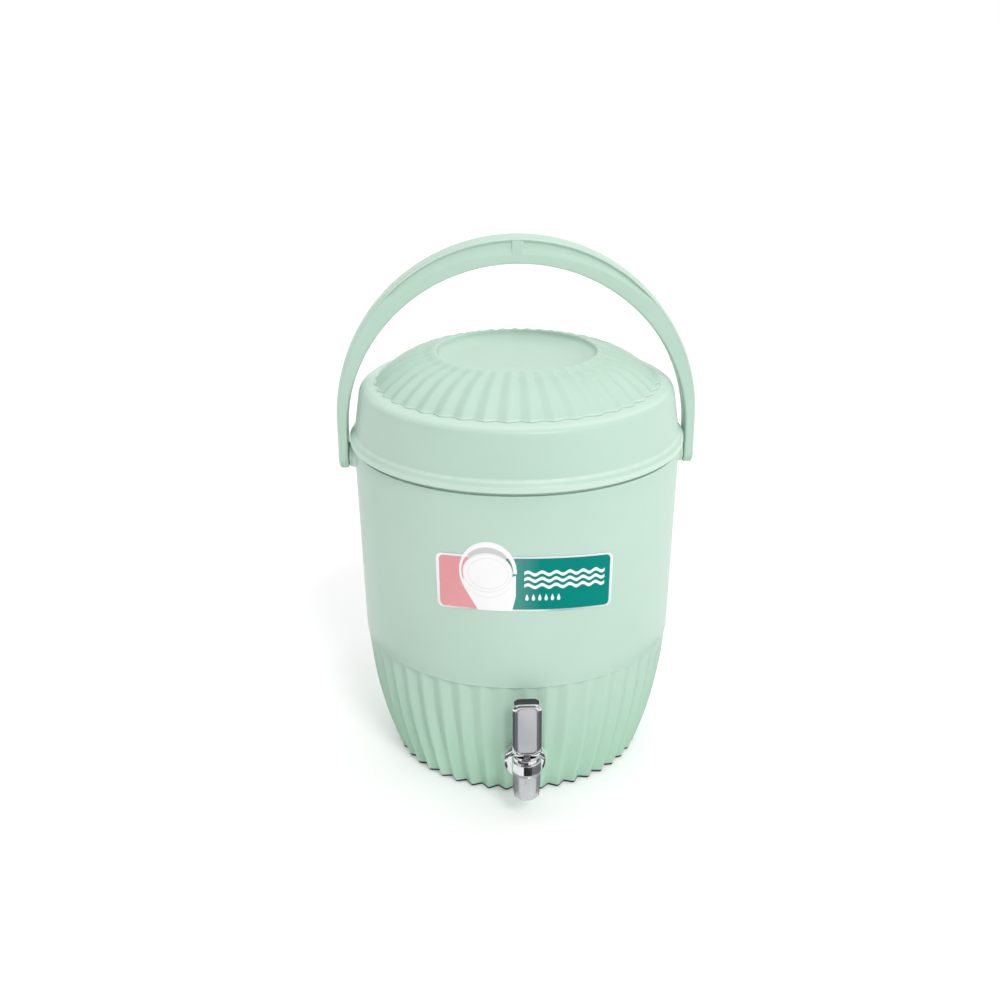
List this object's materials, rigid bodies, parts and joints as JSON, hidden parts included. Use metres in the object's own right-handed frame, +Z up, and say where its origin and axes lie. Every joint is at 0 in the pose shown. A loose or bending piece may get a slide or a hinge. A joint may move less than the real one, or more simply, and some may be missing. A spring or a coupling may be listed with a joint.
{
  "type": "insulated water jug",
  "caption": "Round insulated water jug with a fluted base, a domed drop-on lid, a swinging carry handle and a chrome lever tap near the base.",
  "frame": {"origin": "centre of the round base, on the ground plane", "axes": "+Z up, -Y out of the front where the tap is, +X to the right seen from the front"},
  "size_m": [0.3, 0.299, 0.45],
  "materials": {
    "mint_plastic": "satin mint green polypropylene",
    "white_plastic": "satin white food-grade plastic",
    "foam": "rigid insulating foam",
    "label": "glossy foil sticker with a silver border and two colour panels",
    "silicone": "soft translucent white silicone",
    "tap_plastic": "white engineering plastic, chrome plated outside the jug",
    "chrome": "bright chrome plating",
    "satin_silver": "matte silver plating",
    "spring_steel": "drawn stainless wire"
  },
  "bodies": {
    "jug": {"outer_shell": "mint_plastic", "foam_plug": "white_plastic", "body_insulation": "foam", "inner_liner": "white_plastic", "label_plate": "label", "handle_pin_left": "mint_plastic", "handle_pin_right": "mint_plastic", "tap_body": "tap_plastic", "tap_flange": "chrome", "tap_outer_washer": "silicone", "tap_inner_washer": "silicone", "tap_lock_nut": "white_plastic", "spout_sleeve": "satin_silver", "tap_collar": "chrome", "tap_bonnet": "chrome", "valve_spring": "spring_steel"},
    "handle": {"carry_handle": "mint_plastic"},
    "lid": {"lid_band": "mint_plastic", "lid_dome": "mint_plastic", "lid_insulation": "foam", "lid_liner": "white_plastic", "lid_seal": "silicone"},
    "valve": {"valve_stem": "tap_plastic", "valve_cup": "silicone", "lever_pin": "spring_steel"},
    "lever": {"tap_lever": "chrome", "lever_pad": "satin_silver"}
  },
  "joints": [
    {"name": "handle_swing", "type": "hinge", "parent": "jug", "child": "handle", "pos_m": [0, 0, 0.2675], "axis": [1, 0, 0], "range_deg": [-115, 115]},
    {"name": "lid_lift", "type": "slide", "parent": "jug", "child": "lid", "axis": [0, 0, 1], "range_m": [0, 0.015]},
    {"name": "valve_lift", "type": "slide", "parent": "jug", "child": "valve", "axis": [0, 0, 1], "range_m": [0, 0.0038], "deforming": ["valve_spring"]},
    {"name": "lever_tilt", "type": "hinge", "parent": "valve", "child": "lever", "pos_m": [0, -0.147, 0.0678], "axis": [1, 0, 0], "range_deg": [0, 60], "stiffness_Nm_per_rad": 0.1, "springref_deg": -11.46}
  ],
  "couplings": [
    {"joint": "valve_lift", "follows": "lever_tilt", "m_per_rad": 0.0036}
  ]
}
